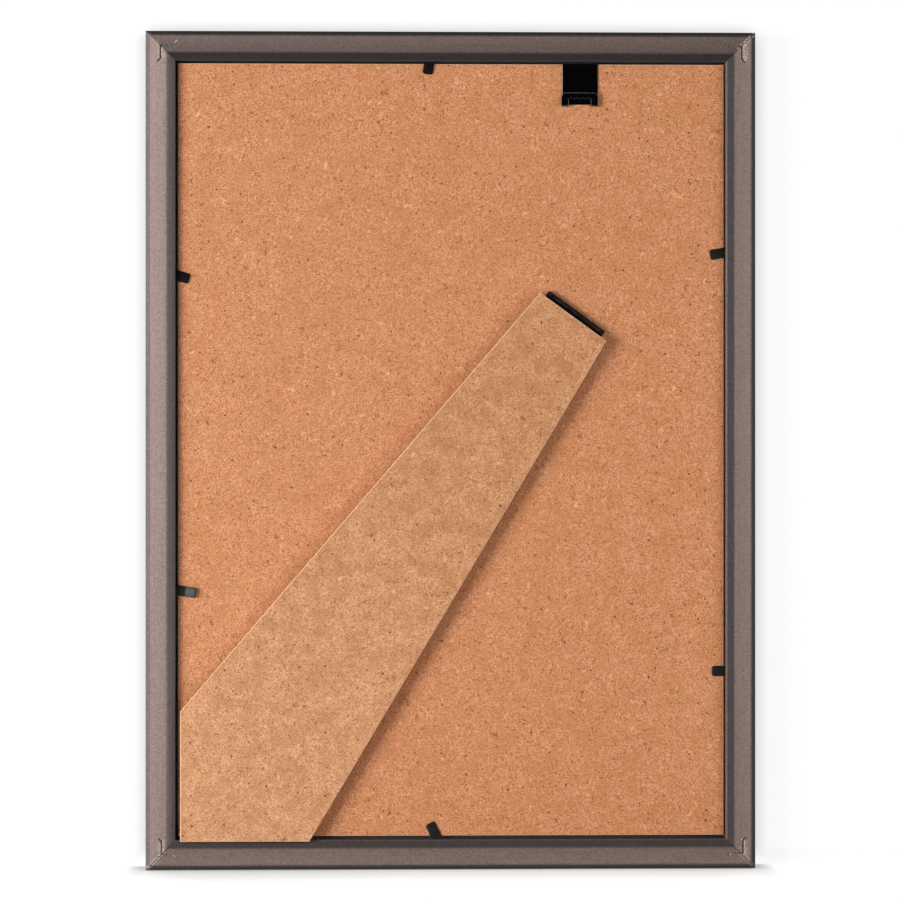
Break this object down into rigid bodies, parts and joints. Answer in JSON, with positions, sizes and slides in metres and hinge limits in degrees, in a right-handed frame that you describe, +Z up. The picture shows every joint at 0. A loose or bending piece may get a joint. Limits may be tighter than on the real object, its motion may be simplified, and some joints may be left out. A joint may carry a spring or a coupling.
{
  "type": "picture frame",
  "caption": "Upright moulded picture frame for a standard office sheet, seen from its hardboard back, with a folding easel strut, sliding hanger and flexible points.",
  "frame": {"origin": "On the ground under the middle of the frame's overall box, below the bottom rail", "axes": "+Z up along the frame's height, +Y towards the picture side, -Y towards the back, +X to the right as seen from the back"},
  "size_m": [0.235, 0.0154, 0.3225],
  "materials": {
    "moulding": "warm grey satin film, faintly streaked along the moulding",
    "corner_nail_steel": "dark raw steel seen edge on",
    "glass": "clear float glass",
    "insert_paper": "plain white paper",
    "back_hardboard": "smooth brown hardboard with dark fibres",
    "strut_hardboard": "smooth light brown hardboard with dark specks",
    "hinge_steel": "black lacquered sheet steel",
    "hanger_steel": "glossy black lacquered sheet steel",
    "point_steel": "black oxidised spring steel"
  },
  "bodies": {
    "root": {"top_rail": "moulding", "bottom_rail": "moulding", "left_rail": "moulding", "right_rail": "moulding", "upper_left_corner_nail": "corner_nail_steel", "upper_right_corner_nail": "corner_nail_steel", "lower_left_corner_nail": "corner_nail_steel", "lower_right_corner_nail": "corner_nail_steel", "glass_pane": "glass", "insert_sheet": "insert_paper", "back_board": "back_hardboard", "board_hinge_leaf": "hinge_steel", "hinge_pin": "hinge_steel", "top_point_shank": "point_steel", "bottom_point_shank": "point_steel", "upper_left_point_shank": "point_steel", "lower_left_point_shank": "point_steel", "upper_right_point_shank": "point_steel", "lower_right_point_shank": "point_steel"},
    "strut_body": {"strut": "strut_hardboard", "strut_hinge_leaf": "hinge_steel"},
    "hanger_body": {"hanger": "hanger_steel"},
    "top_point": {"top_point_blade": "point_steel"},
    "bottom_point": {"bottom_point_blade": "point_steel"},
    "upper_left_point": {"upper_left_point_blade": "point_steel"},
    "lower_left_point": {"lower_left_point_blade": "point_steel"},
    "upper_right_point": {"upper_right_point_blade": "point_steel"},
    "lower_right_point": {"lower_right_point_blade": "point_steel"}
  },
  "joints": [
    {"name": "strut_fold", "type": "hinge", "parent": "root", "child": "strut_body", "pos_m": [0.04795, -0.0038, 0.21398], "axis": [-0.809, 0, 0.5878], "range_deg": [0, 30]},
    {"name": "hanger_slide", "type": "slide", "parent": "root", "child": "hanger_body", "axis": [1, 0, 0], "range_m": [-0.048, 0.047]},
    {"name": "top_point_bend", "type": "hinge", "parent": "root", "child": "top_point", "pos_m": [-0.00846, -0.00265, 0.3106], "axis": [-1, 0, 0], "range_deg": [0, 90]},
    {"name": "bottom_point_bend", "type": "hinge", "parent": "root", "child": "bottom_point", "pos_m": [-0.00552, -0.00265, 0.0119], "axis": [1, 0, 0], "range_deg": [0, 90]},
    {"name": "upper_left_point_bend", "type": "hinge", "parent": "root", "child": "upper_left_point", "pos_m": [-0.1056, -0.00265, 0.22865], "axis": [0, 0, -1], "range_deg": [0, 90]},
    {"name": "lower_left_point_bend", "type": "hinge", "parent": "root", "child": "lower_left_point", "pos_m": [-0.1056, -0.00265, 0.10739], "axis": [0, 0, -1], "range_deg": [0, 90]},
    {"name": "upper_right_point_bend", "type": "hinge", "parent": "root", "child": "upper_right_point", "pos_m": [0.1056, -0.00265, 0.23768], "axis": [0, 0, 1], "range_deg": [0, 90]},
    {"name": "lower_right_point_bend", "type": "hinge", "parent": "root", "child": "lower_right_point", "pos_m": [0.1056, -0.00265, 0.07595], "axis": [0, 0, 1], "range_deg": [0, 90]}
  ]
}
